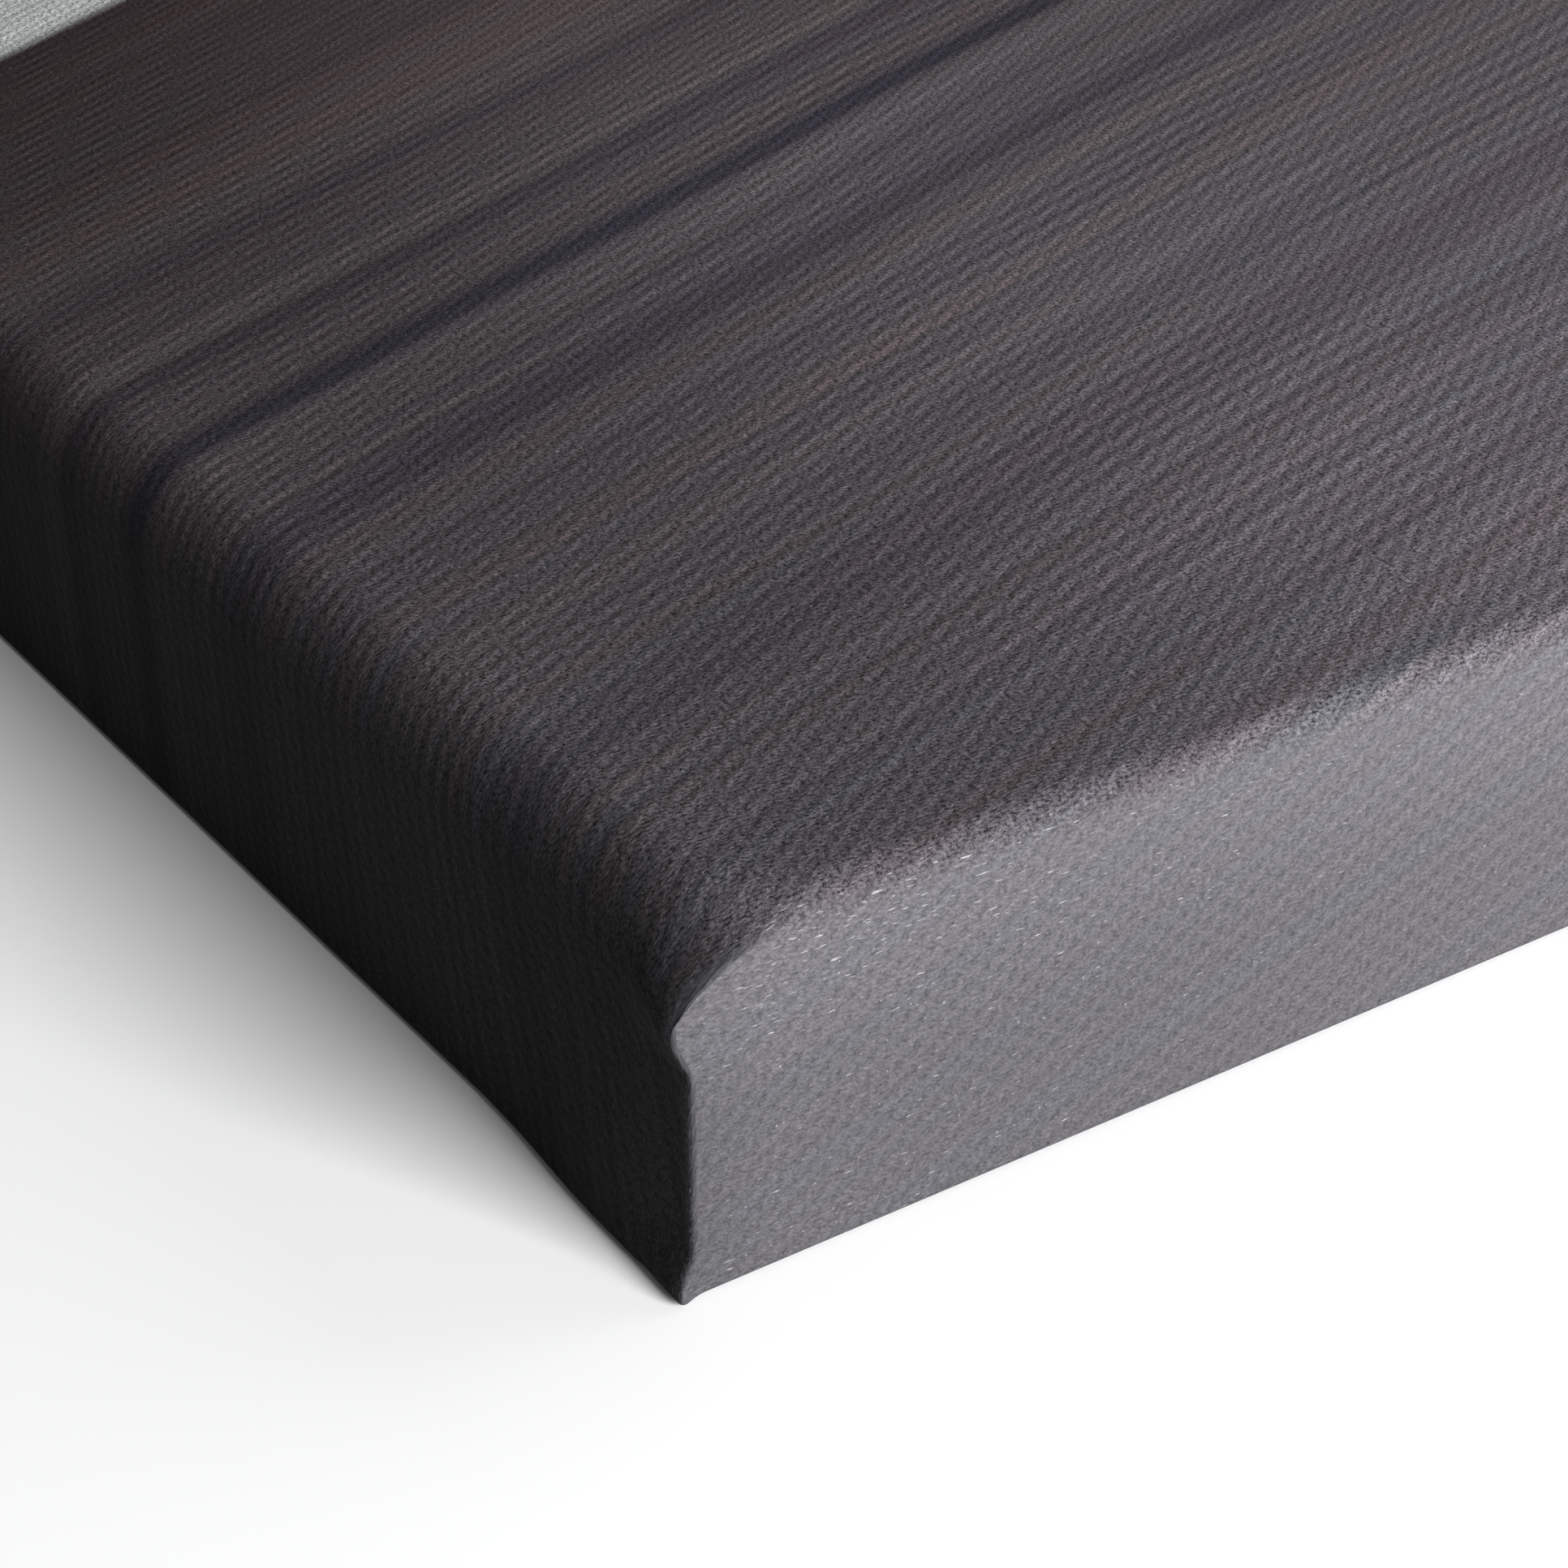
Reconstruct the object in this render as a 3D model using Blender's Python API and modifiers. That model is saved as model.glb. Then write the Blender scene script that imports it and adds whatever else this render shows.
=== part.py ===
"""Stretched canvas: a printed cloth wrapped round a keyed stretcher frame and stapled behind.

The frame lies face up: +Z is the picture's front, +Y its top edge, and the origin is the middle
of the back, on the surface that it lies on. Lengths are in metres.
"""

import bmesh
import bpy
from math import cos, pi, radians, sin
from mathutils import Matrix, Vector

# Whole object
WIDTH = 0.400
HEIGHT = 0.300
DEPTH = 0.020
GAP = 0.0003                    # clearance that touching pieces keep

# Cloth
CLOTH = 0.0006                  # thickness, primed and printed
EDGE_RADIUS = 0.003             # where the front turns to the sides
BACK_RADIUS = 0.0012            # where the sides turn to the back
CORNER_RADIUS = 0.0010          # upright corners
LAP = 0.025                     # turned over on the back

# Stretcher bars
BAR_WIDTH = 0.038
BAR_INSET = CLOTH + GAP         # from the cloth's outer face to the wood
BAR_BACK = BAR_INSET
BAR_FRONT = DEPTH - BAR_INSET
LIP_WIDTH = 0.006               # raised rim that the cloth rests on
FRONT_FALL = 0.0035             # how far the front face falls from the rim to the inner edge
BACK_CHAMFER = 0.0009
LIP_STEPS = 4
TIP_EASE = 0.0059               # each front corner is cut off flat, this far down from its point

# Corner joint: in each bar's end one tongue, and a slot for the neighbour's tongue
LAYER = 0.0037
LAYER_LOW = 0.0046              # where the lower tongue's layer starts
TONGUE_END = 0.0005             # the tongue stops this far inside the frame's outer face

# Corner keys
KEY_LENGTH = 0.032
KEY_INSIDE = 0.020              # how much of it is in the slot
KEY_TIP_WIDTH = 0.004
KEY_TAPER = 0.20
KEY_CHAMFER = 0.0010
KEY_THICKNESS = LAYER - GAP
KEY_CLEARANCE = 0.0006          # beside the key, taken up as it is driven in

# Staples
CROWN = 0.0106
WIRE_WIDTH = 0.0012
WIRE_THICKNESS = 0.0005
LEG = 0.0060
LEG_POINT = 0.0008
CROWN_BACK = 0.00005            # the crown lies just inside the cloth's back face
STAPLE_INSET = 0.0149           # from the cloth's outer face to the row of staples
CORNER_STAPLE = 0.0249          # from the cloth's outer face to the last staple of a row
LONG_ROW = (7, 0.048)           # staples between the corners, and their pitch
SHORT_ROW = (5, 0.045)

COLLECTION = "stretched_canvas"
SIDES = ("bottom", "right", "top", "left")

MATERIALS = {
    "print": ((0.066, 0.058, 0.062), 0.75, 0.0),
    "pine": ((0.74, 0.56, 0.36), 0.60, 0.0),
    "beech": ((0.66, 0.44, 0.26), 0.55, 0.0),
    "steel": ((0.62, 0.62, 0.63), 0.35, 1.0),
}


# ---------------------------------------------------------------- scene helpers

def clear_scene():
    for ob in list(bpy.data.objects):
        bpy.data.objects.remove(ob, do_unlink=True)


def new_collection(name):
    collection = bpy.data.collections.new(name)
    bpy.context.scene.collection.children.link(collection)
    return collection


def make_material(name):
    colour, roughness, metallic = MATERIALS[name]
    material = bpy.data.materials.new(name)
    material.use_nodes = True
    shader = material.node_tree.nodes["Principled BSDF"]
    shader.inputs["Base Color"].default_value = (*colour, 1.0)
    shader.inputs["Roughness"].default_value = roughness
    shader.inputs["Metallic"].default_value = metallic
    material.diffuse_color = (*colour, 1.0)
    return material


def add_object(name, mesh, collection, material=None):
    ob = bpy.data.objects.new(name, mesh)
    collection.objects.link(ob)
    if material:
        ob.data.materials.append(material)
    return ob


def prism_mesh(name, outline, thickness):
    """A flat outline in XY, extruded evenly to both sides of it."""
    curve = bpy.data.curves.new(name, "CURVE")
    curve.dimensions = "2D"
    curve.fill_mode = "BOTH"
    curve.extrude = thickness / 2
    spline = curve.splines.new("POLY")
    spline.points.add(len(outline) - 1)
    for point, (x, y) in zip(spline.points, outline):
        point.co = (x, y, 0.0, 1.0)
    spline.use_cyclic_u = True
    holder = bpy.data.objects.new(name + "_outline", curve)
    bpy.context.scene.collection.objects.link(holder)
    depsgraph = bpy.context.evaluated_depsgraph_get()
    mesh = bpy.data.meshes.new_from_object(holder.evaluated_get(depsgraph))
    mesh.name = name
    bpy.data.objects.remove(holder, do_unlink=True)
    bm = bmesh.new()
    bm.from_mesh(mesh)
    bmesh.ops.remove_doubles(bm, verts=bm.verts, dist=1e-6)
    bmesh.ops.recalc_face_normals(bm, faces=bm.faces)
    bm.to_mesh(mesh)
    bm.free()
    return mesh


def add_box(bm, low, high, turn=0.0):
    """A box between two corners, turned about its own upright axis."""
    centre = (Vector(low) + Vector(high)) / 2
    size = Vector(high) - Vector(low)
    place = Matrix.Translation(centre) @ Matrix.Rotation(turn, 4, "Z")
    bmesh.ops.create_cube(bm, size=1.0, matrix=place @ Matrix.Diagonal((*size, 1.0)))


def add_cutter(name, bm, collection, place=None):
    mesh = bpy.data.meshes.new(name)
    bm.to_mesh(mesh)
    bm.free()
    ob = add_object(name, mesh, collection)
    if place:
        ob.matrix_world = place
    ob.hide_render = True
    ob.display_type = "WIRE"
    return ob


def cut(ob, cutter):
    modifier = ob.modifiers.new(cutter.name, "BOOLEAN")
    modifier.operation = "DIFFERENCE"
    modifier.solver = "EXACT"
    modifier.object = cutter


# ---------------------------------------------------------------- frame layout

def side_place(index):
    """The place of a side's own frame: X along the side, Y inwards from the frame's outer face."""
    reach = (HEIGHT if index % 2 == 0 else WIDTH) / 2 - BAR_INSET
    turn = Matrix.Rotation(radians(90 * index), 4, "Z")
    return turn @ Matrix.Translation((0, -reach, 0))


def bar_length(index):
    return (WIDTH if index % 2 == 0 else HEIGHT) - 2 * BAR_INSET


def layer_range(high):
    low = LAYER_LOW + (LAYER if high else 0.0)
    return low, low + LAYER


def slot_length():
    width_at_mouth = KEY_TIP_WIDTH + KEY_TAPER * KEY_INSIDE
    return BAR_WIDTH + GAP + width_at_mouth + KEY_CLEARANCE


# ---------------------------------------------------------------- stretcher bars

def bar_section():
    """Across the bar: distance inwards from the outer face, and height."""
    radius = EDGE_RADIUS - BAR_INSET
    lip = []
    for step in range(LIP_STEPS + 1):
        angle = pi / 2 * step / LIP_STEPS
        lip.append((radius - radius * cos(angle), BAR_FRONT - radius + radius * sin(angle)))
    return (
        [(BAR_WIDTH, BAR_BACK), (BACK_CHAMFER, BAR_BACK), (0.0, BAR_BACK + BACK_CHAMFER)]
        + lip
        + [(LIP_WIDTH, BAR_FRONT), (BAR_WIDTH, BAR_FRONT - FRONT_FALL)]
    )


def mitre_cutter(index, collection):
    """Takes the mitred ends off the cheeks in front of and behind the tongues."""
    bm = bmesh.new()
    block = 0.1
    half = bar_length(index) / 2
    shift = GAP / 2 * 2 ** 0.5
    out = block / 2 / 2 ** 0.5
    for end in (-1, 1):
        tongue_low, tongue_high = layer_range(high=end > 0)
        slot_low, slot_high = layer_range(high=end < 0)
        behind_top = min(tongue_low + GAP / 2, (slot_low + slot_high) / 2)
        front_bottom = max(tongue_high - GAP / 2, (slot_low + slot_high) / 2)
        x = end * (half - shift - BAR_WIDTH / 2 + out)
        y = BAR_WIDTH / 2 + out
        for low, high in ((-0.01, behind_top), (front_bottom, DEPTH + 0.01)):
            add_box(bm, (x - block / 2, y - block / 2, low), (x + block / 2, y + block / 2, high), pi / 4)
    return add_cutter(SIDES[index] + "_mitre_cutter", bm, collection, side_place(index))


def slot_cutter(index, collection):
    """Opens each end for the neighbour's tongue and for the key beside it."""
    bm = bmesh.new()
    half = bar_length(index) / 2
    beyond = 0.01
    for end in (-1, 1):
        low, high = layer_range(high=end < 0)
        x_range = sorted((end * (half - slot_length()), end * (half + beyond)))
        add_box(
            bm,
            (x_range[0], -beyond, low - GAP / 2),
            (x_range[1], BAR_WIDTH + beyond, high + GAP / 2),
        )
    return add_cutter(SIDES[index] + "_slot_cutter", bm, collection, side_place(index))


def tip_cutter(index, collection):
    """Eases the frame's four front corners, where the cloth turns over them."""
    bm = bmesh.new()
    block = 0.03
    half = bar_length(index) / 2
    for end in (-1, 1):
        outwards = Vector((end, -1, 1)).normalized()
        face = Vector((end * half, 0, BAR_FRONT)) - outwards * outwards.z * TIP_EASE
        turn = outwards.to_track_quat("Z", "Y").to_matrix().to_4x4()
        place = Matrix.Translation(face + outwards * block / 2) @ turn
        bmesh.ops.create_cube(bm, size=block, matrix=place)
    return add_cutter(SIDES[index] + "_tip_cutter", bm, collection, side_place(index))


def make_bar(index, parts, cutters, leg_holes, material):
    """One stretcher bar, tongued high at its right-hand end and low at its left-hand end."""
    length = bar_length(index) - 2 * TONGUE_END
    mesh = prism_mesh(SIDES[index] + "_bar", bar_section(), length)
    bar = add_object(SIDES[index] + "_bar", mesh, parts, material)
    # The section is drawn in XY and extruded along Z: stand it up across the side's own X.
    stand = Matrix(((0, 0, 1, 0), (1, 0, 0, 0), (0, 1, 0, 0), (0, 0, 0, 1)))
    bar.matrix_world = side_place(index) @ stand
    cut(bar, mitre_cutter(index, cutters))
    cut(bar, slot_cutter(index, cutters))
    cut(bar, tip_cutter(index, cutters))
    cut(bar, leg_holes)


# ---------------------------------------------------------------- corner keys

def key_outline():
    """A flat wedge: straight side on X = 0, tip at -Y, thick end at +Y."""
    tip = -KEY_INSIDE
    head = KEY_LENGTH - KEY_INSIDE
    head_width = KEY_TIP_WIDTH + KEY_TAPER * KEY_LENGTH
    slope = KEY_TAPER * KEY_CHAMFER
    return [
        (0.0, tip + KEY_CHAMFER),
        (0.0, head - KEY_CHAMFER),
        (-KEY_CHAMFER, head),
        (-head_width + KEY_CHAMFER, head),
        (-head_width + slope, head - KEY_CHAMFER),
        (-KEY_TIP_WIDTH - slope, tip + KEY_CHAMFER),
        (-KEY_TIP_WIDTH + KEY_CHAMFER, tip),
        (-KEY_CHAMFER, tip),
    ]


def make_keys(parts, material):
    """Two keys in every corner, each in its own bar's slot, beside the neighbour's tongue."""
    mesh = prism_mesh("corner_key", key_outline(), KEY_THICKNESS)
    mesh.materials.append(material)
    for index, side in enumerate(SIDES):
        half = bar_length(index) / 2
        for end, label in ((-1, "left"), (1, "right")):
            low, high = layer_range(high=end < 0)
            key = add_object(f"{side}_bar_{label}_key", mesh, parts)
            place = Matrix.Translation((end * (half - BAR_WIDTH - GAP), BAR_WIDTH, (low + high) / 2))
            turn = Matrix.Rotation(0.0 if end > 0 else pi, 4, "Y")
            key.matrix_world = side_place(index) @ place @ turn


# ---------------------------------------------------------------- staples

def staple_rows():
    """Every staple as (side index, number in its row, distance along the side)."""
    rows = []
    for index in range(len(SIDES)):
        count, pitch = LONG_ROW if index % 2 == 0 else SHORT_ROW
        corner = bar_length(index) / 2 + BAR_INSET - CORNER_STAPLE
        places = [-corner]
        places += [(number - (count - 1) / 2) * pitch for number in range(count)]
        places += [corner]
        rows += [(index, number + 1, place) for number, place in enumerate(places)]
    return rows


def staple_outline():
    """A squared U with chisel points: X along the crown, Y up the legs."""
    half = CROWN / 2
    inner = half - WIRE_THICKNESS
    chamfer = WIRE_THICKNESS / 2
    return [
        (-half + chamfer, 0.0),
        (half - chamfer, 0.0),
        (half, chamfer),
        (half, LEG - LEG_POINT),
        (inner, LEG),
        (inner, WIRE_THICKNESS),
        (-inner, WIRE_THICKNESS),
        (-inner, LEG),
        (-half, LEG - LEG_POINT),
        (-half, chamfer),
    ]


def staple_place(index, along):
    return side_place(index) @ Matrix.Translation((along, STAPLE_INSET - BAR_INSET, CROWN_BACK))


def make_staples(parts, material):
    mesh = prism_mesh("staple", staple_outline(), WIRE_WIDTH)
    mesh.materials.append(material)
    stand = Matrix.Rotation(pi / 2, 4, "X")
    for index, number, along in staple_rows():
        staple = add_object(f"{SIDES[index]}_staple_{number}", mesh, parts)
        staple.matrix_world = staple_place(index, along) @ stand


def staple_cutters(collection):
    """One cutter for the crowns' pockets in the cloth, and one for the legs' holes in the wood."""
    pockets = bmesh.new()
    legs = bmesh.new()
    half = CROWN / 2 + GAP
    across = WIRE_WIDTH / 2 + GAP
    leg_centre = (CROWN - WIRE_THICKNESS) / 2
    leg_half = WIRE_THICKNESS / 2 + GAP
    below = 0.001
    for index, _, along in staple_rows():
        turn = side_place(index)
        middle = turn @ Vector((along, STAPLE_INSET - BAR_INSET, 0.0))
        spin = radians(90 * index)
        low = middle - Vector((half, across, below))
        high = middle + Vector((half, across, BAR_BACK))
        add_box(pockets, low, high, spin)
        for end in (-1, 1):
            centre = turn @ Vector((along + end * leg_centre, STAPLE_INSET - BAR_INSET, 0.0))
            low = centre - Vector((leg_half, across, below))
            high = centre + Vector((leg_half, across, LEG + GAP))
            add_box(legs, low, high, spin)
    pocket_cutter = add_cutter("crown_pocket_cutter", pockets, collection)
    leg_cutter = add_cutter("leg_hole_cutter", legs, collection)
    return pocket_cutter, leg_cutter


# ---------------------------------------------------------------- cloth

def edges_where(bm, test):
    return [edge for edge in bm.edges if all(test(vert.co) for vert in edge.verts)]


def make_canvas(parts, crown_pockets, material):
    """The cloth as a tray turned face up: front, four sides, and a lap round the back."""
    bm = bmesh.new()
    add_box(bm, (-WIDTH / 2, -HEIGHT / 2, 0.0), (WIDTH / 2, HEIGHT / 2, DEPTH))
    touch = 1e-6
    front = edges_where(bm, lambda co: co.z > DEPTH - touch)
    bmesh.ops.bevel(bm, geom=front, offset=EDGE_RADIUS, segments=4, profile=0.5, affect="EDGES")
    back = edges_where(bm, lambda co: co.z < touch)
    bmesh.ops.bevel(bm, geom=back, offset=BACK_RADIUS, segments=2, profile=0.5, affect="EDGES")

    back_face = min(bm.faces, key=lambda face: face.calc_center_median().z)
    bmesh.ops.inset_individual(bm, faces=[back_face], thickness=LAP - BACK_RADIUS, use_even_offset=True)
    bmesh.ops.delete(bm, geom=[back_face], context="FACES_ONLY")

    def on_corner(co):
        across = WIDTH / 2 - abs(co.x) - (HEIGHT / 2 - abs(co.y))
        return abs(across) < touch

    corners = [
        edge for edge in edges_where(bm, on_corner)
        if (edge.verts[0].co - edge.verts[1].co).length < DEPTH
    ]
    bmesh.ops.bevel(bm, geom=corners, offset=CORNER_RADIUS, segments=2, profile=0.5, affect="EDGES")
    bmesh.ops.recalc_face_normals(bm, faces=bm.faces)
    mesh = bpy.data.meshes.new("canvas")
    bm.to_mesh(mesh)
    bm.free()
    canvas = add_object("canvas", mesh, parts, material)
    shell = canvas.modifiers.new("cloth", "SOLIDIFY")
    shell.thickness = CLOTH
    shell.offset = -1.0
    shell.use_even_offset = True
    cut(canvas, crown_pockets)


def main():
    clear_scene()
    parts = new_collection(COLLECTION)
    cutters = new_collection("cutters")
    materials = {name: make_material(name) for name in MATERIALS}
    crown_pockets, leg_holes = staple_cutters(cutters)
    make_canvas(parts, crown_pockets, materials["print"])
    for index in range(len(SIDES)):
        make_bar(index, parts, cutters, leg_holes, materials["pine"])
    make_keys(parts, materials["beech"])
    make_staples(parts, materials["steel"])
    bpy.context.view_layer.update()


main()
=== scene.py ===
"""Stretched canvas, close to its lower left corner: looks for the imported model.

The printed cloth is one sheet of its own, folded round the frame at all four corners. The bars,
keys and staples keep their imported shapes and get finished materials. Lengths are in metres.
"""

from math import cos, hypot, pi, radians, sin

import bpy
import bmesh
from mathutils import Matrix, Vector


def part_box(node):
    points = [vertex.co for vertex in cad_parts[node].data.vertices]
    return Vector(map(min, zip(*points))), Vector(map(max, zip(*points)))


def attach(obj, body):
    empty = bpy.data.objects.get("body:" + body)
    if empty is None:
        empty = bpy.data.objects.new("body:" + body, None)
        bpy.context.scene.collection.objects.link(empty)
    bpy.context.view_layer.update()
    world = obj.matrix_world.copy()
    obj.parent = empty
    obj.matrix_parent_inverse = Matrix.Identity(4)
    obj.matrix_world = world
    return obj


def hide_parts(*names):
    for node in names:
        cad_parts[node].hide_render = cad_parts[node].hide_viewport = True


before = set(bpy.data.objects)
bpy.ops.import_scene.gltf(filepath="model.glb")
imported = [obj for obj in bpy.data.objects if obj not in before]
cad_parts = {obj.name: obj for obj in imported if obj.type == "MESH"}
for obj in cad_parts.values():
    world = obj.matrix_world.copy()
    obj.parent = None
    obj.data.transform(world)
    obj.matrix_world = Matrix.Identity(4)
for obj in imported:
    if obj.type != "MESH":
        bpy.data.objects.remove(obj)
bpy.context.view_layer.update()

LOW, HIGH = (Vector(corner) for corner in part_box("canvas"))
HALF = ((HIGH.x - LOW.x) / 2, (HIGH.y - LOW.y) / 2)
DEPTH = HIGH.z - LOW.z
SIDE_NAMES = ("bottom", "right", "top", "left")

# ---------------------------------------------------------------- cloth sizes

CLOTH = 0.00034                 # the real cloth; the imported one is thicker
LONG_RADIUS = 0.0019            # front edge along the top and bottom
SHORT_RADIUS = 0.0046           # front edge along the left and right, over the softer fold
BACK_RADIUS = 0.0006
FRONT_WAVE = 0.00004            # height of the front's slow waves, then their rate and start in x and y
FRONT_WAVE_X = (97, 1.3)
FRONT_WAVE_Y = (83, 0.4)
FLAT_START = 0.012              # from here outwards the front is made of rings
LAP_INSET = 0.025               # where the lap ends on the back
LAP_HEIGHT = 0.00056            # outer face of the lap, just under the staples' crowns
LAP_SETTLE = 0.007              # inset by which the lap lies on the wood
LAP_LIFT = 0.0003               # how far the lap's free edge lifts between staples
LAP_LIFT_START = 0.62           # share of the lap's inset at which it starts to lift
LAP_STEP = 0.0004               # how much farther from the wood the short sides' laps lie, past the mitre
LAP_STEP_RUN = 0.004            # inset by which they are that far out
STAPLE_PITCH = (0.048, 0.045)   # along the long sides and the short ones
FLAT_RINGS = 7
ARC_RINGS = 12
SIDE_RINGS = 20
BACK_RINGS = 4
LAP_RINGS = 12
CORNER_COLUMNS = 12             # round each upright corner
SIDE_CROWDING = 0.35            # how much closer the rings lie towards the back
LAP_CROWDING = 1.3              # and towards the start of the lap
FINE_STEP = 0.00014             # columns beside a corner, then how they widen towards the middle
STEP_GROWTH = 1.24
WIDE_STEP = 0.0060

# Corner folds
UPRIGHT_RADIUS = 0.00032        # the folded upright edge
TIP_RADIUS = 0.0056             # the rounded tip above it
TIP_LOW = 0.0146                # height at which the fold opens into the tip
TIP_HIGH = 0.0192
PLEAT = 0.00072                 # the folded layers under the short side
PLEAT_RUN = 0.013               # how far in from the fold's diagonal they reach full thickness
ROLL_RUN = 0.0075               # and how far in from the upright edge
EAR = 0.00115                   # the pinched bump at the top of the upright edge
EAR_HEIGHT = 0.0155
EAR_REACH = 0.0032              # how far above and below that it goes
EAR_LENGTH = 0.0065             # and how far in from the upright edge
SHORT_SIDE_RUN = 0.003          # distance inside the outer face over which the fold's bulge fades
SHORT_SIDE_ARC = 0.004          # and how much farther in that starts on the rounded front edge
FLARE = 1.3                     # thickness of the fold at its foot, in pleats
FLARE_LOW, FLARE_HIGH = 0.0006, 0.0028      # heights between which that fades
FOOT = 0.0004                   # how far the corner's foot stands out from the long side
FOOT_LOW, FOOT_HIGH = 0.0004, 0.0020        # heights between which that fades
FOOT_INSET = 0.0013             # inset from the short side by which it is gone
FOOT_NEAR, FOOT_FAR = 0.0006, 0.0026        # insets from the long side between which it fades
FLAP_EDGE = 0.0011              # height of the flap's lower fold over the table
FLAP_STEP = 0.00035             # how far the cloth under that fold is set back
FLAP_LENGTH = 0.0045            # how far the flap goes in from the upright edge
FLAP_FADE = 0.6                 # share of its length at which it starts to fade
FLAP_SOFTNESS = 0.0002          # height over which the fold's step is rounded


def smooth(low, high, value):
    share = min(max((value - low) / (high - low), 0.0), 1.0)
    return share * share * (3 - 2 * share)


def mix(first, second, share):
    return first + (second - first) * share


# ---------------------------------------------------------------- cloth mesh

def growing_steps(length):
    """Positions from 0 to 1 along a side: close together at both ends, wide in the middle."""
    reach, step, near = 0.0, FINE_STEP, [0.0]
    while step < WIDE_STEP:
        reach += step
        near.append(reach)
        step *= STEP_GROWTH
    middle = round((length - 2 * reach) / WIDE_STEP)
    wide = [reach + (length - 2 * reach) * index / middle for index in range(1, middle)]
    far = [length - place for place in reversed(near)]
    return [place / length for place in near + wide + far]


def edge_profile(radius):
    """Section of an edge: inset from the outer face, height and length of cloth, ring by ring."""
    points = []
    for index in range(FLAT_RINGS):
        points.append((mix(FLAT_START, radius, index / FLAT_RINGS), DEPTH))
    for index in range(ARC_RINGS + 1):
        angle = pi / 2 * index / ARC_RINGS
        points.append((radius - radius * sin(angle), DEPTH - radius + radius * cos(angle)))
    for index in range(1, SIDE_RINGS):
        share = index / SIDE_RINGS
        share = share * (1 + SIDE_CROWDING - SIDE_CROWDING * share)
        points.append((0.0, mix(DEPTH - radius, BACK_RADIUS, share)))
    for index in range(BACK_RINGS + 1):
        angle = pi / 2 * index / BACK_RINGS
        points.append((BACK_RADIUS - BACK_RADIUS * cos(angle), BACK_RADIUS - BACK_RADIUS * sin(angle)))
    for index in range(1, LAP_RINGS + 1):
        inset = mix(BACK_RADIUS, LAP_INSET, (index / LAP_RINGS) ** LAP_CROWDING)
        points.append((inset, LAP_HEIGHT * smooth(BACK_RADIUS, LAP_SETTLE, inset)))
    run, profile = 0.0, []
    for index, (inset, height) in enumerate(points):
        if index:
            last = points[index - 1]
            run += hypot(inset - last[0], height - last[1])
        profile.append((inset, height, run - (FLAT_START - inset)))
    return profile


LONG_EDGE = edge_profile(LONG_RADIUS)
SHORT_EDGE = edge_profile(SHORT_RADIUS)
RINGS = len(LONG_EDGE)
LAP_START = RINGS - LAP_RINGS


def corner_radius(ring):
    """Radius of a ring's corners in plan: none inside, wide at the tip, tight on the fold."""
    if ring < FLAT_RINGS:
        return max(TIP_RADIUS * ring / FLAT_RINGS, 1e-5)
    height = (LONG_EDGE[ring][1] + SHORT_EDGE[ring][1]) / 2
    if ring >= LAP_START or height < TIP_LOW:
        return UPRIGHT_RADIUS
    return mix(UPRIGHT_RADIUS, TIP_RADIUS, smooth(TIP_LOW, TIP_HIGH, height))


def perimeter():
    """The columns of every ring, anticlockwise: side, place along it, and turn round its corner."""
    columns = []
    for side in range(4):
        length = 2 * HALF[side % 2] - 2 * FLAT_START
        columns += [(side, share, 0.0) for share in growing_steps(length)]
        columns += [(side, 1.0, turn / CORNER_COLUMNS) for turn in range(1, CORNER_COLUMNS)]
    return columns


def ring_point(ring, column):
    """A point of the plain wrapped form, before folds: place, and how far it is turned to a long side."""
    side, share, turn = column
    radius = corner_radius(ring)
    long_inset, long_height, _ = LONG_EDGE[ring]
    short_inset, short_height, _ = SHORT_EDGE[ring]
    reach = (HALF[0] - short_inset - radius, HALF[1] - long_inset - radius)
    signs = ((-1, -1), (1, -1), (1, 1), (-1, 1))
    start = signs[side]
    end = signs[(side + 1) % 4]
    x = mix(start[0], end[0], share) * reach[0]
    y = mix(start[1], end[1], share) * reach[1]
    angle = radians(-90 + 90 * side + 90 * turn)
    x += radius * cos(angle)
    y += radius * sin(angle)
    to_long = 1 - turn if side % 2 == 0 else turn
    height = mix(short_height, long_height, smooth(0, 1, to_long))
    return x, y, height, to_long


def fold_offset(along, height):
    """How far the short side stands out, at this distance from its corner and this height."""
    under = DEPTH - height - along
    pleat = PLEAT * smooth(0.0, PLEAT_RUN, under)
    roll = smooth(0.0, ROLL_RUN, along)
    ear = EAR * max(0.0, 1 - ((height - EAR_HEIGHT) / EAR_REACH) ** 2) ** 2
    ear *= 1 - smooth(0.0, EAR_LENGTH, along)
    foot = PLEAT * FLARE * (1 - smooth(FLARE_LOW, FLARE_HIGH, height))
    edge = mix(foot, pleat, roll)
    flap = 1 - smooth(FLAP_LENGTH * FLAP_FADE, FLAP_LENGTH, along)
    step = FLAP_STEP * flap * roll * (1 - smooth(FLAP_EDGE - FLAP_SOFTNESS, FLAP_EDGE, height))
    return edge + ear - step


def front_wave(x, y):
    """The stretched front is nowhere quite flat."""
    rate_x, start_x = FRONT_WAVE_X
    rate_y, start_y = FRONT_WAVE_Y
    return FRONT_WAVE * sin(x * rate_x + start_x) * sin(y * rate_y + start_y)


def lap_lift(along, pitch, inset):
    """The lap's free edge stands a little off the wood between staples."""
    wave = sin(pi * along / pitch) ** 2
    return -LAP_LIFT * wave * smooth(LAP_INSET * LAP_LIFT_START, LAP_INSET, inset)


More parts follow.
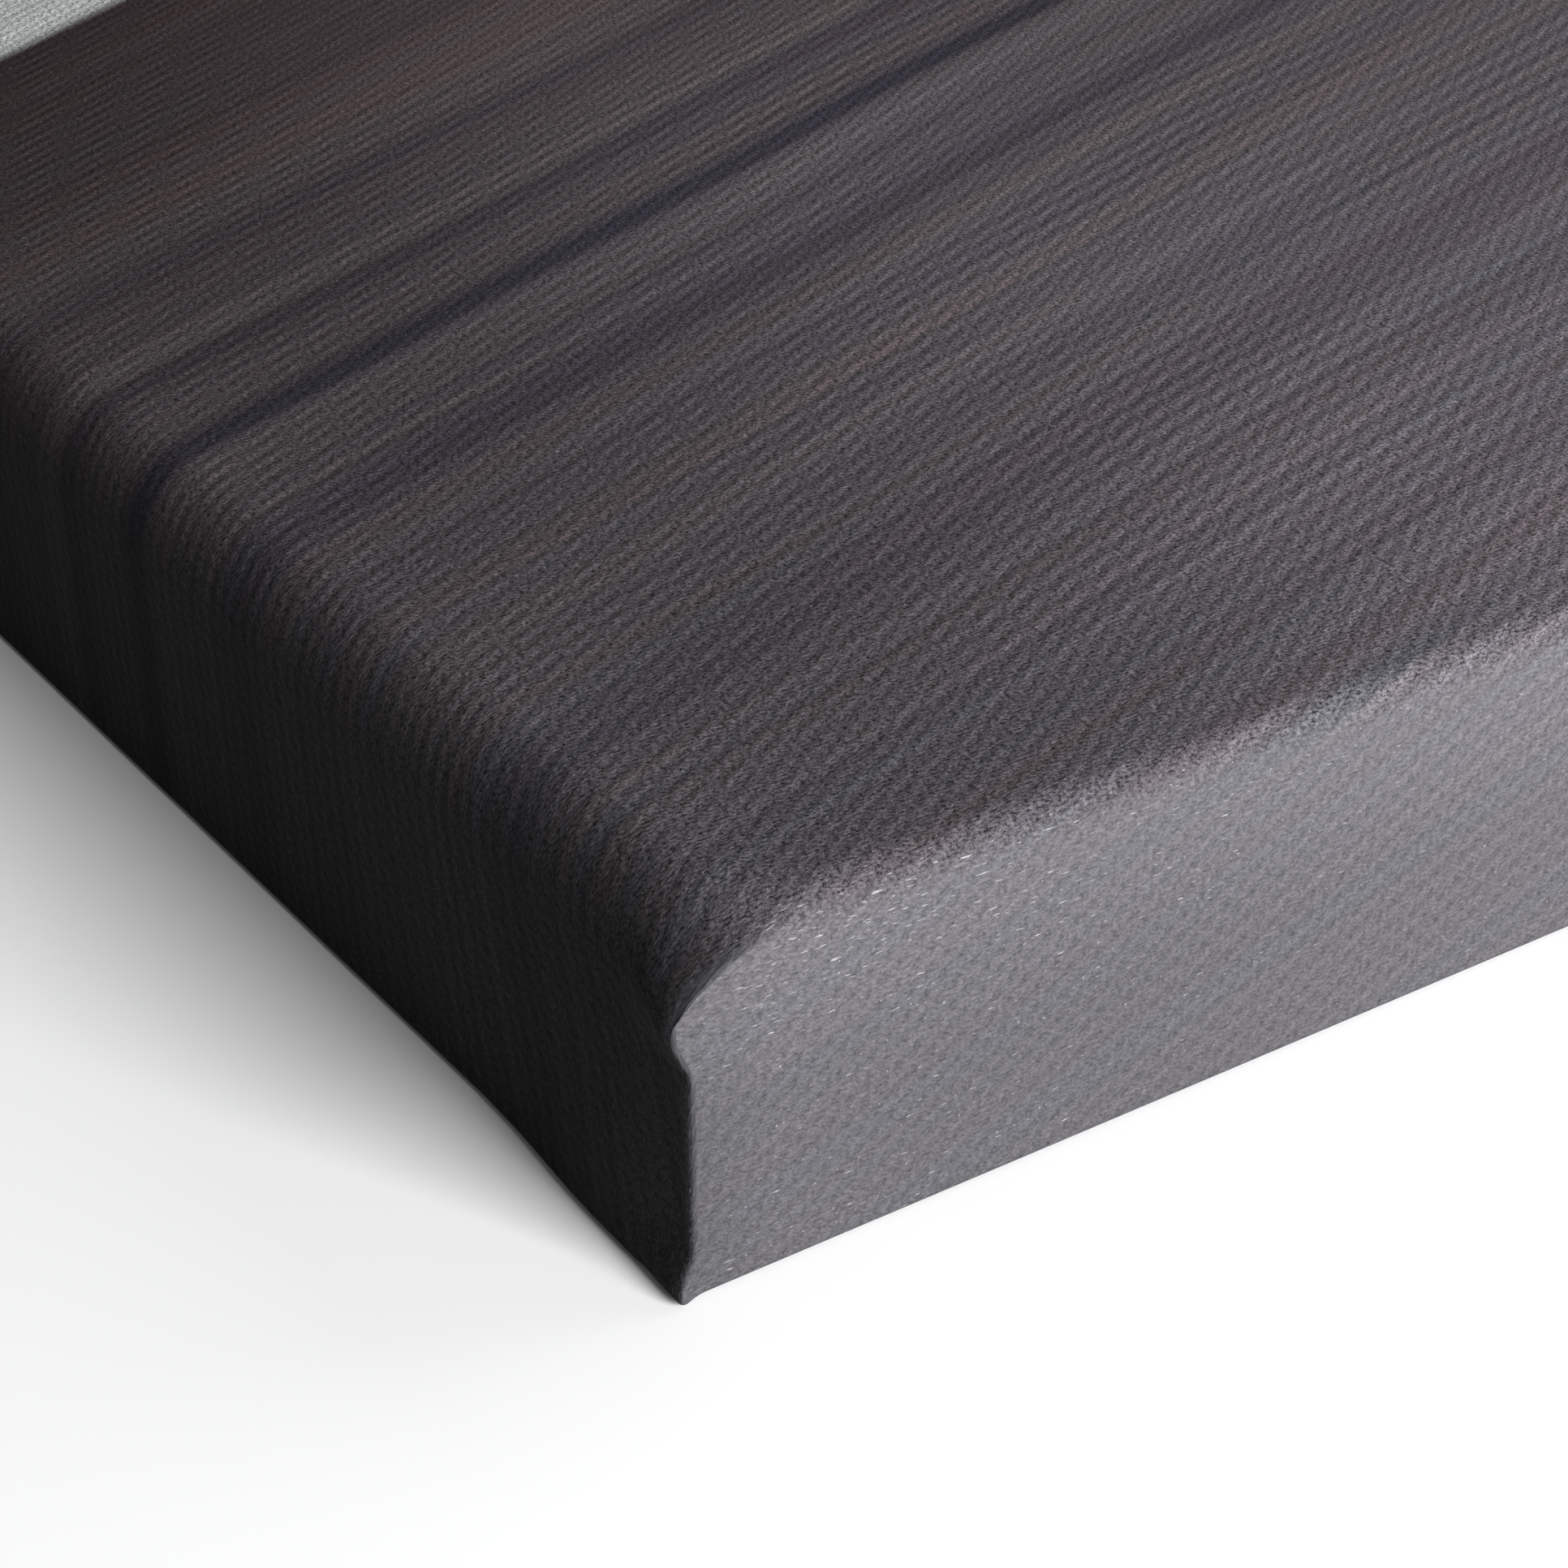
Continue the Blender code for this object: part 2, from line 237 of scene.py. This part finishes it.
def shaped_point(ring, column):
    """The plain point with its folds, waves and lifted lap."""
    x, y, height, _ = ring_point(ring, column)
    side = column[0]
    along = HALF[1] - abs(y)
    if FLAT_RINGS < ring < LAP_START:
        inside = HALF[0] - abs(x)
        past_arc = 0.0 if ring > FLAT_RINGS + ARC_RINGS else SHORT_SIDE_ARC
        near_side = smooth(SHORT_SIDE_RUN, 0.0, inside - past_arc)
        foot = (1 - smooth(FOOT_LOW, FOOT_HIGH, height)) * (1 - smooth(0.0, FOOT_INSET, inside))
        foot *= 1 - smooth(FOOT_NEAR, FOOT_FAR, along)
        x += (1 if x > 0 else -1) * fold_offset(along, height) * near_side
        y += (1 if y > 0 else -1) * FOOT * foot
    if ring >= LAP_START:
        inset = LONG_EDGE[ring][0]
        height += lap_lift((x, y)[side % 2], STAPLE_PITCH[side % 2], inset)
        if side % 2 and along > inset:
            height -= LAP_STEP * smooth(inset, inset + LAP_STEP, along) * smooth(0.0, LAP_STEP_RUN, inset)
    if ring < FLAT_RINGS + ARC_RINGS:
        height += front_wave(x, y)
    return x, y, max(height, 0.0) + LOW.z


# ---------------------------------------------------------------- cloth maps

FAN_X, FAN_Y = -0.663, -0.289   # the printed streaks fan out from here
FAN_SPAN = 0.513                # where the streaks' spacing is read, from there
LEAN_AT_CORNER = radians(14)    # lean of the streaks on the short sides, and where it changes
LEAN_AWAY = radians(2.5)
LEAN_NEAR, LEAN_FAR = 0.008, 0.045
FOLD_MAP_LOW, FOLD_MAP_HIGH = TIP_LOW - 0.001, TIP_LOW + 0.002      # where the maps change at the fold's top


def fan_place(u, v):
    """Print map: across the streaks and along them, both in metres."""
    across = (v - FAN_Y) / (u - FAN_X) * FAN_SPAN + FAN_Y
    along = hypot(u - FAN_X, v - FAN_Y)
    return across, along


def side_slant(y):
    """On the short sides the streaks run down, and lean towards the corners near them."""
    from_corner = HALF[1] - abs(y)
    lean = mix(LEAN_AT_CORNER, LEAN_AWAY, smooth(LEAN_NEAR, LEAN_FAR, from_corner))
    return (1 if y > 0 else -1) * sin(lean) / cos(lean)


def cloth_maps(ring, column, on_long):
    """A loop's place on the unrolled cloth, and on the print."""
    x, y, height, to_long = ring_point(ring, column)
    sign_x = 1 if x > 0 else -1
    sign_y = 1 if y > 0 else -1
    folded = 1 - smooth(FOLD_MAP_LOW, FOLD_MAP_HIGH, height)
    if ring < FLAT_RINGS:
        folded = 0.0
    share = mix(to_long, 1.0 if on_long else 0.0, folded)
    extra_long = LONG_EDGE[ring][2]
    extra_short = SHORT_EDGE[ring][2]
    u = x + sign_x * extra_short * (1 - share)
    v = y + sign_y * extra_long * share
    long_print = fan_place(x, y + sign_y * extra_long)
    short_edge = fan_place(x, y - extra_short * side_slant(y))
    short_print = (short_edge[0], short_edge[1] + sign_x * extra_short)
    across = mix(short_print[0], long_print[0], share)
    along = mix(short_print[1], long_print[1], share)
    return (u, v), (across, along)


def build_cloth():
    """The front as a grid, and rings from its border over the edges to the laps' ends."""
    columns = perimeter()
    count = len(columns)
    shares_x = [share for side, share, turn in columns if side == 0 and turn == 0.0]
    shares_y = [share for side, share, turn in columns if side == 1 and turn == 0.0]
    reach = (HALF[0] - FLAT_START, HALF[1] - FLAT_START)
    xs = [mix(-reach[0], reach[0], share) for share in shares_x]
    ys = [mix(-reach[1], reach[1], share) for share in shares_y]
    vertices, place_of = [], {}
    for row, y in enumerate(ys):
        for col, x in enumerate(xs):
            place_of[col, row] = len(vertices)
            vertices.append((x, y, DEPTH + front_wave(x, y) + LOW.z))

    def border(index):
        """The grid's vertex that a ring column starts from."""
        side, share, turn = columns[index]
        last_x, last_y = len(xs) - 1, len(ys) - 1
        step = round(share * 1e6)
        line = shares_x if side % 2 == 0 else shares_y
        number = min(range(len(line)), key=lambda place: abs(round(line[place] * 1e6) - step))
        corners = ((number, 0), (last_x, number), (last_x - number, last_y), (0, last_y - number))
        return place_of[corners[side]]

    rings = [[border(index) for index in range(count)]]
    for ring in range(1, RINGS):
        rings.append(list(range(len(vertices), len(vertices) + count)))
        for column in columns:
            vertices.append(shaped_point(ring, column))

    faces, cloth_map, print_map = [], [], []

    def add_face(corners, maps):
        faces.append(corners)
        for cloth_place, print_place in maps:
            cloth_map.append(cloth_place)
            print_map.append(print_place)

    for row in range(len(ys) - 1):
        for col in range(len(xs) - 1):
            around = ((col, row), (col + 1, row), (col + 1, row + 1), (col, row + 1))
            flat = [(xs[i], ys[j]) for i, j in around]
            add_face([place_of[key] for key in around], [(point, fan_place(*point)) for point in flat])
    for ring in range(RINGS - 1):
        for index in range(count):
            after = (index + 1) % count
            side, _, turn = columns[index]
            on_long = (side % 2 == 0) == (turn < 0.5)
            keys = [(ring, index), (ring + 1, index), (ring + 1, after), (ring, after)]
            corners = [rings[r][c] for r, c in keys]
            maps = [cloth_maps(r, columns[c], on_long) for r, c in keys]
            if corners[0] == corners[3]:
                corners, maps = corners[:3], maps[:3]
            add_face(corners, maps)

    mesh = bpy.data.meshes.new("printed_cloth")
    mesh.from_pydata(vertices, [], faces)
    for name, values in (("cloth", cloth_map), ("print", print_map)):
        layer = mesh.uv_layers.new(name=name)
        layer.data.foreach_set("uv", [part for value in values for part in value])
    mesh.shade_smooth()
    cloth = bpy.data.objects.new("printed_cloth", mesh)
    bpy.context.scene.collection.objects.link(cloth)
    shell = cloth.modifiers.new("thickness", "SOLIDIFY")
    shell.thickness = CLOTH
    shell.offset = -1.0
    shell.material_offset = 1
    shell.material_offset_rim = 1
    return cloth


# ---------------------------------------------------------------- material nodes

class Graph:
    """A material's node tree, with short calls for what the finishes below need."""

    def __init__(self, name, roughness, specular=0.5, metallic=0.0):
        self.material = bpy.data.materials.new(name)
        self.material.use_nodes = True
        self.tree = self.material.node_tree
        self.shader = self.tree.nodes["Principled BSDF"]
        self.shader.inputs["Roughness"].default_value = roughness
        self.shader.inputs["Specular IOR Level"].default_value = specular
        self.shader.inputs["Metallic"].default_value = metallic

    def node(self, kind, inputs=(), **settings):
        made = self.tree.nodes.new(kind)
        for key, value in settings.items():
            setattr(made, key, value)
        for key, value in dict(inputs).items():
            self.feed(made.inputs[key], value)
        return made

    def feed(self, socket, value):
        if hasattr(value, "is_linked"):
            self.tree.links.new(value, socket)
        else:
            socket.default_value = value

    def math(self, operation, first, second=0.0, third=0.0):
        return self.node("ShaderNodeMath", {0: first, 1: second, 2: third}, operation=operation).outputs[0]

    def uv(self, layer):
        return self.node("ShaderNodeUVMap", uv_map=layer).outputs["UV"]

    def place(self):
        return self.node("ShaderNodeTexCoord").outputs["Object"]

    def stretch(self, vector, scale, location=(0, 0, 0)):
        inputs = {"Vector": vector, "Scale": scale, "Location": location}
        return self.node("ShaderNodeMapping", inputs).outputs["Vector"]

    def noise(self, vector, scale=1.0, detail=2.0, roughness=0.5):
        inputs = {"Vector": vector, "Scale": scale, "Detail": detail, "Roughness": roughness}
        return self.node("ShaderNodeTexNoise", inputs).outputs["Fac"]

    def range(self, value, low, high, out_low=0.0, out_high=1.0, kind="SMOOTHSTEP"):
        inputs = {"Value": value, "From Min": low, "From Max": high,
                  "To Min": out_low, "To Max": out_high}
        return self.node("ShaderNodeMapRange", inputs, interpolation_type=kind).outputs["Result"]

    def blend(self, factor, first, second, kind="MIX"):
        made = self.node("ShaderNodeMix", data_type="RGBA", blend_type=kind)
        for key, value in ((0, factor), (6, first), (7, second)):
            self.feed(made.inputs[key], value)
        return made.outputs[2]

    def ramp(self, value, stops):
        made = self.node("ShaderNodeValToRGB", {"Fac": value})
        steps = made.color_ramp.elements
        while len(steps) < len(stops):
            steps.new(0.5)
        for step, (place, colour) in zip(steps, stops):
            step.position = place
            step.color = (*colour, 1.0)
        return made.outputs["Color"]

    def split(self, vector):
        return self.node("ShaderNodeSeparateXYZ", {"Vector": vector}).outputs

    def join(self, x, y, z=0.0):
        return self.node("ShaderNodeCombineXYZ", {"X": x, "Y": y, "Z": z}).outputs["Vector"]

    def finish(self, colour, height, depth):
        """Colour and bump into the shader; the height is in shares of the depth, in metres."""
        bump = self.node("ShaderNodeBump", {"Height": height, "Distance": depth, "Strength": 1.0})
        self.feed(self.shader.inputs["Base Color"], colour)
        self.feed(self.shader.inputs["Normal"], bump.outputs["Normal"])
        return self.material


# Weave: how many to the metre, along the cloth and up it. The knuckles are where threads cross.
KNUCKLES = (630.0, -860.0)
COUNTER_KNUCKLES = (480.0, 660.0)
UP_THREADS = (1120.0, -170.0)
NOTCHES = (1780.0, -1050.0)
FINE_LINES = 0.00142            # spacing of the print's finest lines
DARK_END = -0.187               # the front darkens towards the left between these places: painted shade for the light falling off there, with the print's own tone
DARK_START = -0.132


def weave(graph, place):
    """Plain weave under its ground: its height with fibres, and its threads alone from -1 to 1."""
    u, v, _ = graph.split(place)
    bend = graph.math("MULTIPLY_ADD", graph.noise(place, 900.0, 1.0), 1.7,
                      graph.math("MULTIPLY", graph.noise(place, 130.0, 2.0), 2.4))

    def wave(per_u, per_v, share):
        """Ridges with so many to the metre along u and along v, bent by a share of the wander."""
        phase = graph.math("MULTIPLY_ADD", u, 2 * pi * per_u, graph.math("MULTIPLY", v, 2 * pi * per_v))
        return graph.math("COSINE", graph.math("MULTIPLY_ADD", bend, share, phase))

    threads = graph.math("MULTIPLY", wave(*KNUCKLES, 1.0), 0.55)
    threads = graph.math("MULTIPLY_ADD", wave(*COUNTER_KNUCKLES, -0.6), 0.24, threads)
    threads = graph.math("MULTIPLY_ADD", wave(*UP_THREADS, 0.5), 0.32, threads)
    threads = graph.math("MULTIPLY_ADD", wave(*NOTCHES, 1.4), 0.12, threads)
    slubs = graph.noise(graph.stretch(place, (260.0, 1900.0, 1.0), (0.0, 0.0, 3.0)), 1.0, 1.0)
    fibres = graph.noise(graph.stretch(place, (2700.0, 4600.0, 1.0)), 1.0, 3.0, 0.8)
    height = graph.math("MULTIPLY_ADD", threads, 0.42, graph.math("MULTIPLY", slubs, 0.15))
    return graph.math("MULTIPLY_ADD", fibres, 2.0, height), threads


# The print across its streaks: a ground of three tones, and the broad streaks on it, in round numbers.
# A streak has its middle and half its width, in millimetres, and how much lighter or darker it is.
GROUND_SPAN = (-0.176, -0.004)
GROUND = ((0.0, (0.090, 0.083, 0.093)), (0.5, (0.070, 0.061, 0.066)), (1.0, (0.034, 0.023, 0.024)))
BROAD_STREAKS = (
    (-117, 4, -0.2), (-95, 4, -0.1), (-85, 4, -0.3), (-74, 4, 0.2), (-71, 3, -0.6), (-61, 3, -0.3),
    (-58, 3, 0.3), (-48, 3, -0.2), (-40, 8, 0.3),
)
PRINT_STRENGTH = 1.13
SIDE_INK = (0.080, 0.078, 0.085, 1.0)
PALE_INK = (0.44, 0.45, 0.45, 1.0)
# pale thread colour: painted glints on the thread crowns, and bare thread where the ink is rubbed off
BARE_FIBRE_AND_GLINT = (0.40, 0.39, 0.40, 1.0)
PRIMED_WHITE = (0.80, 0.79, 0.75, 1.0)


def print_ground(graph, place):
    """The ground's tones with the broad streaks laid on them; dark streaks are a little bluer."""
    ground = graph.ramp(graph.range(place, *GROUND_SPAN, kind="LINEAR"), GROUND)
    level = 1.0
    for middle, half_width, strength in BROAD_STREAKS:
        off = graph.math("ABSOLUTE", graph.math("SUBTRACT", place, middle / 1000))
        level = graph.math("ADD", level, graph.range(off, 0.0, half_width / 1000, strength, 0.0))
    blue = graph.math("MULTIPLY_ADD", level, 0.8, 0.2)
    return graph.blend(1.0, ground, graph.join(level, level, blue), "MULTIPLY")


def print_colour(graph, past_short, past_long):
    """Streaks that fan over the picture: broad bands, soft strands and fine lines.

    The print is darker past the short sides' edges, and shade is painted there too; it is more even past the
    long sides', with a painted highlight below their edges.
    """
    across, along, _ = graph.split(graph.uv("print"))

    def streaks(start, per_across, per_along, seed, detail=2.0, roughness=0.5):
        """Noise drawn out along the streaks, so many to the metre each way."""
        scaled = graph.join(graph.math("MULTIPLY", start, per_across),
                            graph.math("MULTIPLY", along, per_along), seed)
        return graph.noise(scaled, 1.0, detail, roughness)

    drift = streaks(across, 30.0, 14.0, 0.0)
    place = graph.math("ADD", across, graph.math("MULTIPLY_ADD", drift, 0.0022, -0.0011))
    colour = print_ground(graph, place)

    strands = streaks(place, 640.0, 8.0, 2.0, 3.0, 0.6)
    strand_level = graph.range(strands, 0.3, 0.7, 0.80, 1.20, kind="LINEAR")
    tint = graph.ramp(streaks(place, 330.0, 6.0, 4.0, 3.0, 0.6),
                      ((0.36, (0.93, 0.99, 1.05)), (0.5, (0.98, 1.0, 0.99)), (0.66, (1.07, 0.98, 0.97))))
    colour = graph.blend(1.0, colour, tint, "MULTIPLY")

    line_phase = graph.math("MULTIPLY_ADD", drift, 3.0, graph.math("MULTIPLY", place, 2 * pi / FINE_LINES))
    lines = graph.math("SINE", line_phase)
    patchy = graph.range(streaks(place, 60.0, 25.0, 9.0), 0.35, 0.65, 0.09, 0.24)
    line_level = graph.math("MULTIPLY_ADD", patchy, lines, 1.0)
    # painted shade with the print's tone: the front is darker towards its left edge and lighter across the
    # rest
    reach = graph.range(graph.split(graph.uv("cloth"))[0], DARK_END, DARK_START, 0.76, 1.18)
    # painted shade with a darker print: the short sides' wrap, turned away from the key lamp, is darkened,
    # and more so near the corner's tip
    short_side_shade = graph.range(past_short, -0.005, 0.003, 1.0, 0.22)
    tip_shade = graph.math("MULTIPLY", graph.range(past_short, -0.005, 0.0),
                          graph.range(past_long, -0.030, -0.003))
    short_side_shade = graph.math("MULTIPLY", short_side_shade, graph.math("MULTIPLY_ADD", tip_shade, -0.25, 1.0))
    level = graph.math("MULTIPLY", graph.math("MULTIPLY", strand_level, line_level),
                       graph.math("MULTIPLY", graph.math("MULTIPLY", reach, short_side_shade), PRINT_STRENGTH))
    colour = graph.blend(1.0, colour, graph.join(level, level, level), "MULTIPLY")
    # painted highlight: the long side is lighter just below its rounded edge, where it faces the key lamp,
    # and darker lower down
    side_top_highlight = graph.range(past_long, 0.001, 0.012, 1.20, 0.93)
    side = graph.blend(1.0, SIDE_INK, graph.join(side_top_highlight, side_top_highlight, side_top_highlight), "MULTIPLY")
    side = graph.blend(0.22, side, colour)
    colour = graph.blend(graph.range(past_long, -0.001, 0.0012), colour, side)

    edge_wave = graph.math("MULTIPLY_ADD", drift, 0.004, -0.002)
    pale_in = graph.range(graph.math("ADD", across, edge_wave), -0.0034, -0.0010)
    pale_end = graph.range(graph.math("MULTIPLY_ADD", drift, 0.12, along), 0.60, 0.92, 1.0, 0.0)
    soft = graph.math("MULTIPLY_ADD", strand_level, 0.5, 0.5)
    pale = graph.blend(1.0, PALE_INK, graph.join(soft, soft, soft), "MULTIPLY")
    return graph.blend(graph.math("MULTIPLY", pale_in, pale_end), colour, pale)


def printed_canvas():
    """Matt inkjet print on primed, plain-woven cloth."""
    graph = Graph("printed_canvas_cloth", roughness=0.82, specular=0.08)
    place = graph.uv("cloth")
    height, threads = weave(graph, place)
    u, v, _ = graph.split(place)
    away_u = graph.math("ABSOLUTE", u)
    away_v = graph.math("ABSOLUTE", v)
    past_short = graph.math("SUBTRACT", away_u, HALF[0])
    past_long = graph.math("SUBTRACT", away_v, HALF[1])
    colour = print_colour(graph, past_short, past_long)

    grain = graph.noise(graph.stretch(place, (3600.0, 5600.0, 1.0)), 1.0, 3.0, 0.8)
    grain_level = graph.range(grain, 0.34, 0.66, -1.0, 1.0, kind="LINEAR")
    shown = graph.range(past_long, -0.001, 0.0012, 1.0, 0.42)
    # the fibres' random grain, and painted shade between the threads: the colour is darker where the weave is
    # lower
    grain_and_weave_shade = graph.math("MULTIPLY_ADD", grain_level, shown, graph.math("MULTIPLY_ADD", threads, 0.14, 1.0))
    colour = graph.blend(1.0, colour, graph.join(grain_and_weave_shade, grain_and_weave_shade, grain_and_weave_shade), "MULTIPLY")

    # pale dashes along the threads near the lit front edge and the corner, and specks on the front: painted
    # glints on the thread crowns, with bare thread where the ink is rubbed off at the fold; fewer on the
    # short side's edge
    on_edge = graph.range(away_v, HALF[1] - 0.0025, HALF[1] + 0.0005)
    below_edge = graph.range(away_v, HALF[1] + 0.002, HALF[1] + 0.010, 1.0, 0.55)
    near_edge = graph.math("MULTIPLY", on_edge, below_edge)
    near_corner = graph.range(away_u, HALF[0] - 0.050, HALF[0] - 0.004, 0.35, 1.0)
    wear_and_glint_bias = graph.math("MULTIPLY_ADD", graph.math("MULTIPLY", near_edge, near_corner), 0.112, -0.036)
    fibre_field = graph.noise(graph.stretch(place, (1200.0, 8200.0, 1.0), (3.0, 1.0, 0.0)), 1.0, 1.0)
    fibre_glint = graph.range(graph.math("ADD", fibre_field, wear_and_glint_bias), 0.735, 0.79)
    glint_specks = graph.noise(graph.stretch(place, (4600.0, 4600.0, 1.0), (7.0, 2.0, 0.0)), 1.0, 0.0)
    glints_and_bare_fibre = graph.math("MAXIMUM", fibre_glint, graph.range(glint_specks, 0.81, 0.86, 0.0, 0.6))
    glints_and_bare_fibre = graph.math("MULTIPLY", glints_and_bare_fibre, graph.range(away_u, HALF[0] - 0.004, HALF[0], 0.6, 0.12))
    colour = graph.blend(glints_and_bare_fibre, colour, BARE_FIBRE_AND_GLINT)

    margin_u = graph.range(away_u, HALF[0] + DEPTH + 0.0035, HALF[0] + DEPTH + 0.0038)
    margin_v = graph.range(away_v, HALF[1] + DEPTH + 0.0045, HALF[1] + DEPTH + 0.0048)
    colour = graph.blend(graph.math("MAXIMUM", margin_u, margin_v), colour, PRIMED_WHITE)
    return graph.finish(colour, height, 0.00010)


def raw_canvas():
    """The cloth's unprimed reverse and cut edges."""
    graph = Graph("raw_cloth", roughness=0.92, specular=0.2)
    place = graph.uv("cloth")
    height, threads = weave(graph, place)
    slubs = graph.noise(graph.stretch(place, (90.0, 1500.0, 1.0)), 1.0, 3.0)
    colour = graph.ramp(slubs, ((0.3, (0.44, 0.39, 0.30)), (0.5, (0.60, 0.55, 0.45)),
                                (0.75, (0.70, 0.66, 0.57))))
    shade = graph.range(threads, -1.0, 1.0, 0.78, 1.12, kind="LINEAR")
    colour = graph.blend(1.0, colour, graph.join(shade, shade, shade), "MULTIPLY")
    return graph.finish(colour, height, 0.00012)


def wood(name, axis, light, dark, seed, rings=150.0, roughness=0.62):
    """Sawn wood with its grain along one axis: growth lines, fine pores and planer marks."""
    graph = Graph(name, roughness=roughness, specular=0.35)
    place = graph.place()
    slow = [1.0, 1.0, 1.0]
    slow[axis] = 0.05
    grained = graph.stretch(place, tuple(slow), (seed, seed * 0.37, seed * 0.11))
    bend = graph.noise(grained, 26.0, 2.0)
    parts = graph.split(grained)
    across = graph.math("ADD", parts[1 - axis], graph.math("MULTIPLY", parts[2], 0.6))
    line = graph.math("MULTIPLY_ADD", bend, 0.022, across)
    growth = graph.math("FRACT", graph.math("MULTIPLY", line, rings))
    late = graph.range(growth, 0.35, 0.95)
    fine = graph.noise(grained, 1500.0, 4.0, 0.65)
    tone = graph.math("MULTIPLY_ADD", fine, 0.45, graph.math("MULTIPLY", late, 0.6))
    middle = tuple(mix(pale, deep, 0.4) for pale, deep in zip(light, dark))
    colour = graph.ramp(tone, ((0.1, light), (0.5, middle), (0.95, dark)))
    quick = [260.0, 260.0, 260.0]
    quick[axis] = 420.0
    fuzz = graph.noise(graph.stretch(place, tuple(quick)), 1.0, 3.0, 0.6)
    height = graph.math("ADD", graph.math("MULTIPLY", fine, 0.6), graph.math("MULTIPLY", fuzz, 0.25))
    return graph.finish(colour, height, 0.00012)


def staple_steel():
    """Galvanised wire: spangled zinc with fine draw marks."""
    graph = Graph("galvanised_wire", roughness=0.36, metallic=1.0)
    place = graph.place()
    blotch = graph.noise(place, 900.0, 3.0)
    colour = graph.ramp(blotch, ((0.3, (0.42, 0.43, 0.45)), (0.6, (0.66, 0.67, 0.68)),
                                 (0.8, (0.78, 0.78, 0.78))))
    draw = graph.noise(graph.stretch(place, (4000.0, 4000.0, 9000.0)), 1.0, 2.0)
    rough = graph.range(blotch, 0.3, 0.7, 0.28, 0.48)
    graph.feed(graph.shader.inputs["Roughness"], rough)
    return graph.finish(colour, draw, 0.00002)


def floor_material():
    graph = Graph("studio_floor", roughness=0.75, specular=0.2)
    cloudy = graph.noise(graph.place(), 3.0, 2.0)
    colour = graph.ramp(cloudy, ((0.3, (0.88, 0.88, 0.885)), (0.7, (0.90, 0.90, 0.90))))
    return graph.finish(colour, cloudy, 0.00001)


# ---------------------------------------------------------------- pieces

def dress_canvas():
    cloth = build_cloth()
    cloth.data.materials.append(printed_canvas())
    cloth.data.materials.append(raw_canvas())
    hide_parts("canvas")
    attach(cloth, "root")


def set_material(node, material):
    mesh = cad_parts[node].data
    mesh.materials.clear()
    mesh.materials.append(material)


def dress_frame():
    """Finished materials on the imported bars, keys and staples."""
    pine = ((0.80, 0.62, 0.40), (0.52, 0.32, 0.15))
    beech = ((0.68, 0.46, 0.28), (0.44, 0.25, 0.13))
    steel = staple_steel()
    for index, side in enumerate(SIDE_NAMES):
        grain = index % 2
        set_material(side + "_bar", wood(side + "_pine", grain, *pine, seed=1.7 + index))
        key_wood = wood(side + "_key_beech", 1 - grain, *beech, seed=6.1 + index, rings=420.0, roughness=0.55)
        for end in ("left", "right"):
            set_material(f"{side}_bar_{end}_key", key_wood)
    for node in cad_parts:
        if "_staple_" in node:
            set_material(node, steel)


# ---------------------------------------------------------------- studio

CAMERA_OFFSET = Vector((-0.06743, -0.10613, 0.10032))   # from the near bottom corner
CAMERA_TURN = radians(-34.35)
CAMERA_PITCH = radians(29.93)
LENS = 78.04
SENSOR = 36.0
FLOOR_SIZE = 4.0
SKY_COLOUR = (0.95, 0.97, 1.0, 1.0)
SKY_STRENGTH = 0.14


def make_camera():
    camera = bpy.data.objects.new("camera", bpy.data.cameras.new("camera"))
    camera.data.lens = LENS
    camera.data.sensor_width = SENSOR
    camera.data.clip_start = 0.01
    camera.location = Vector((LOW.x, LOW.y, LOW.z)) + CAMERA_OFFSET
    camera.rotation_euler = (pi / 2 - CAMERA_PITCH, 0.0, CAMERA_TURN)
    bpy.context.scene.collection.objects.link(camera)
    bpy.context.scene.camera = camera


def make_floor():
    mesh = bpy.data.meshes.new("floor")
    bm = bmesh.new()
    bmesh.ops.create_grid(bm, x_segments=1, y_segments=1, size=FLOOR_SIZE)
    bm.to_mesh(mesh)
    bm.free()
    floor = bpy.data.objects.new("floor", mesh)
    floor.location.z = LOW.z
    floor.data.materials.append(floor_material())
    bpy.context.scene.collection.objects.link(floor)


def area_light(name, heading, elevation, distance, size, strength):
    """A square soft box, aimed at the near corner. Heading is its direction from there."""
    light = bpy.data.objects.new(name, bpy.data.lights.new(name, "AREA"))
    light.data.size = size
    light.data.energy = strength
    away = Vector((cos(elevation) * sin(heading), -cos(elevation) * cos(heading), sin(elevation)))
    light.location = Vector((LOW.x, LOW.y, LOW.z)) + away * distance
    light.rotation_euler = away.to_track_quat("Z", "Y").to_euler()
    bpy.context.scene.collection.objects.link(light)


def make_studio():
    make_camera()
    make_floor()
    area_light("key_light", radians(10), radians(20), 1.0, 0.50, 27.5)
    area_light("side_light", radians(90), radians(30), 1.0, 0.80, 3.1)
    world = bpy.data.worlds.new("studio")
    world.use_nodes = True
    background = world.node_tree.nodes["Background"]
    background.inputs["Color"].default_value = SKY_COLOUR
    background.inputs["Strength"].default_value = SKY_STRENGTH
    bpy.context.scene.world = world
    bpy.context.scene.view_settings.view_transform = "Standard"


make_studio()
dress_canvas()
dress_frame()
